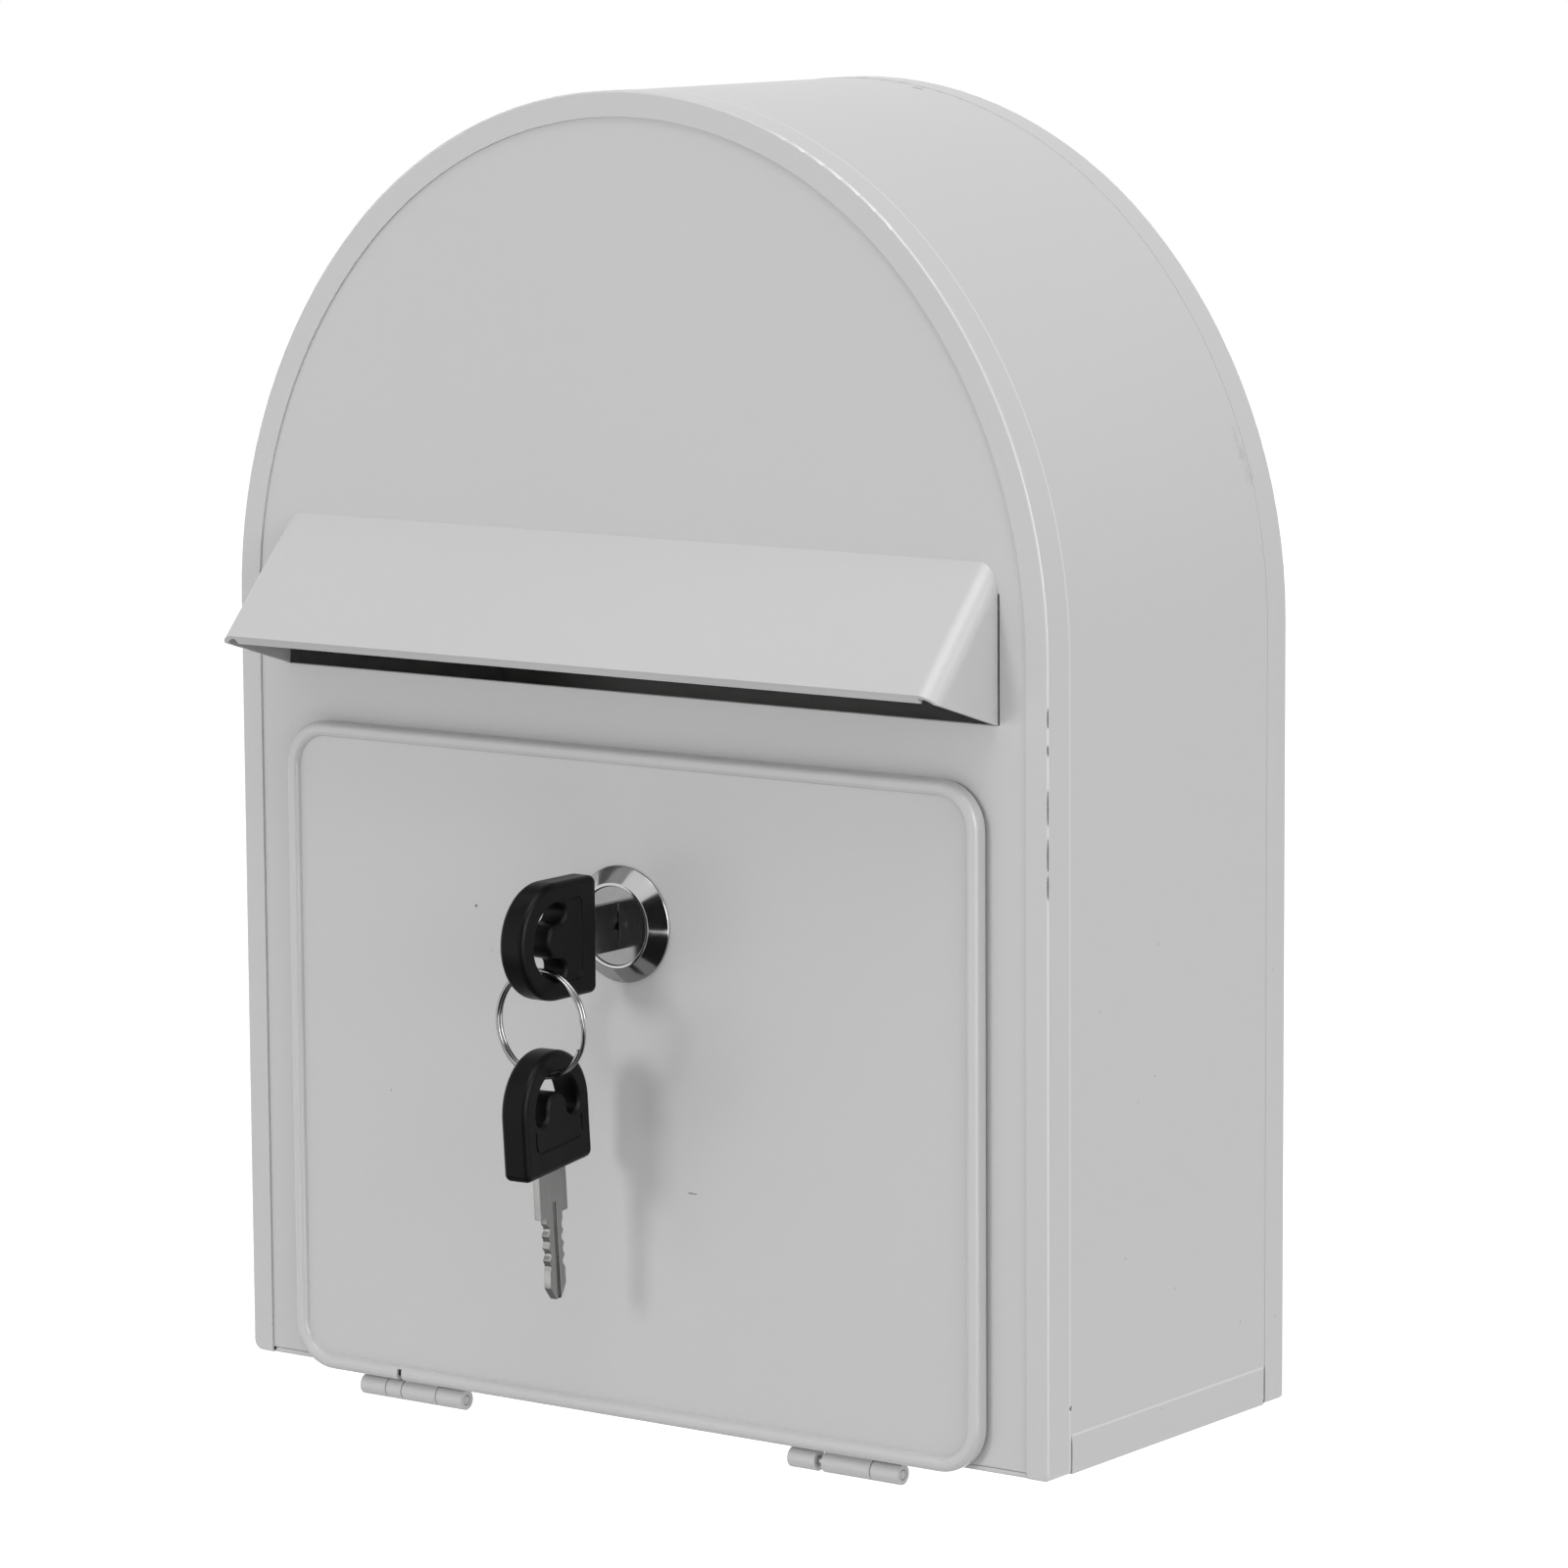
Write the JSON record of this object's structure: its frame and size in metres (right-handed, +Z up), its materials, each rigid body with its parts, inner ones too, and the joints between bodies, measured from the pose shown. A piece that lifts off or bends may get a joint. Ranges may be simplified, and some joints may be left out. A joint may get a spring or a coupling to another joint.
{
  "type": "wall mailbox",
  "caption": "Arched sheet-metal wall mailbox with a hooded mail slot, a bottom-hinged locking door and keys on a split ring.",
  "frame": {"origin": "centre of the wall-hole pattern on the back face that lies against the wall", "axes": "+X to the right seen from the front, +Y into the wall, +Z up"},
  "size_m": [0.2, 0.1228, 0.2688],
  "materials": {
    "paint": "satin",
    "chrome": "polished",
    "steel": "satin",
    "brass": "satin",
    "bow_plastic": "satin"
  },
  "bodies": {
    "box": {"shell_wrap": "paint", "front_frame": "paint", "front_panel": "paint", "back_panel": "paint", "bottom_plate": "paint", "slot_hood": "paint", "hinge_leaf_box_left": "paint", "hinge_leaf_box_right": "paint", "hinge_pin_left": "steel", "hinge_pin_right": "steel"},
    "door": {"door_panel": "paint", "hinge_leaf_door_left": "paint", "hinge_leaf_door_right": "paint", "lock_body": "chrome", "lock_nut": "steel"},
    "lock_core": {"lock_plug": "chrome", "lock_wafers": "brass", "lock_cam": "steel", "cam_washer": "steel", "cam_screw": "steel"},
    "key": {"key_blade": "steel", "key_bow": "bow_plastic"},
    "ring": {"key_ring": "steel"},
    "spare_key": {"spare_key_blade": "steel", "spare_key_bow": "bow_plastic"}
  },
  "joints": [
    {"name": "door_hinge", "type": "hinge", "parent": "box", "child": "door", "pos_m": [0, -0.0854, -0.13305], "axis": [1, 0, 0], "range_deg": [0, 172]},
    {"name": "lock_turn", "type": "hinge", "parent": "door", "child": "lock_core", "pos_m": [0, -0.0868, -0.0304], "axis": [0, 1, 0], "range_deg": [0, 90]},
    {"name": "key_slide", "type": "slide", "parent": "lock_core", "child": "key", "axis": [0, -1, 0], "range_m": [0, 0.0185]},
    {"name": "ring_swing", "type": "hinge", "parent": "key", "child": "ring", "pos_m": [0, -0.11145, -0.0364], "axis": [-1, 0, 0], "range_deg": [-8, 90]},
    {"name": "spare_swing", "type": "hinge", "parent": "ring", "child": "spare_key", "pos_m": [0, -0.11145, -0.0575], "axis": [-1, 0, 0], "range_deg": [-8, 45]}
  ]
}
